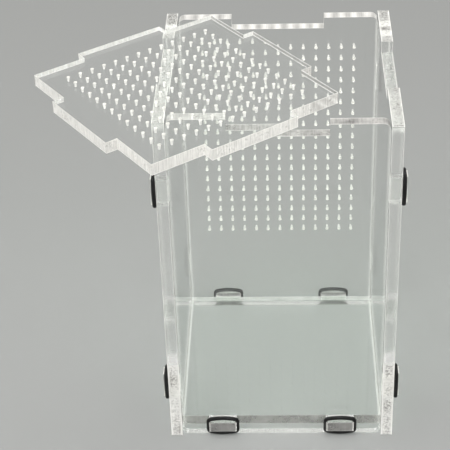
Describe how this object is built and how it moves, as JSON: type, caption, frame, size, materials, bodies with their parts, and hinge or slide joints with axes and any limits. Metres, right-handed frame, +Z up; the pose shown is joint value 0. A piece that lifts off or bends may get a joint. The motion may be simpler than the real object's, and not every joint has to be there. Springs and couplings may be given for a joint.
{
  "type": "invertebrate keeper box",
  "caption": "Tall clear box for keeping a spider or insect, slotted together from acrylic sheet and locked by rubber rings, with air holes and a loose lid.",
  "frame": {"origin": "middle of the box in plan, without the lid, on the surface that the four upright panels stand on", "axes": "+Z up, +Y towards the rear panel with its air holes, +X to the right when seen from the front"},
  "size_m": [0.1535, 0.1394, 0.1671],
  "materials": {
    "acrylic": "clear and polished on the faces, pale and finely striated on the cut edges",
    "ring_rubber": "satin black"
  },
  "bodies": {
    "box": {"left_panel": "acrylic", "right_panel": "acrylic", "front_panel": "acrylic", "rear_panel": "acrylic", "floor_panel": "acrylic", "ring_front_upper_left": "ring_rubber", "ring_front_upper_right": "ring_rubber", "ring_front_lower_left": "ring_rubber", "ring_front_lower_right": "ring_rubber", "ring_rear_upper_left": "ring_rubber", "ring_rear_upper_right": "ring_rubber", "ring_rear_lower_left": "ring_rubber", "ring_rear_lower_right": "ring_rubber", "ring_floor_front_left": "ring_rubber", "ring_floor_front_right": "ring_rubber", "ring_floor_rear_left": "ring_rubber", "ring_floor_rear_right": "ring_rubber"},
    "lid": {"lid": "acrylic"}
  },
  "joints": [
    {"name": "lid_lift", "type": "slide", "parent": "box", "child": "lid", "axis": [0, 0, 1], "range_m": [0, 0.06]}
  ]
}
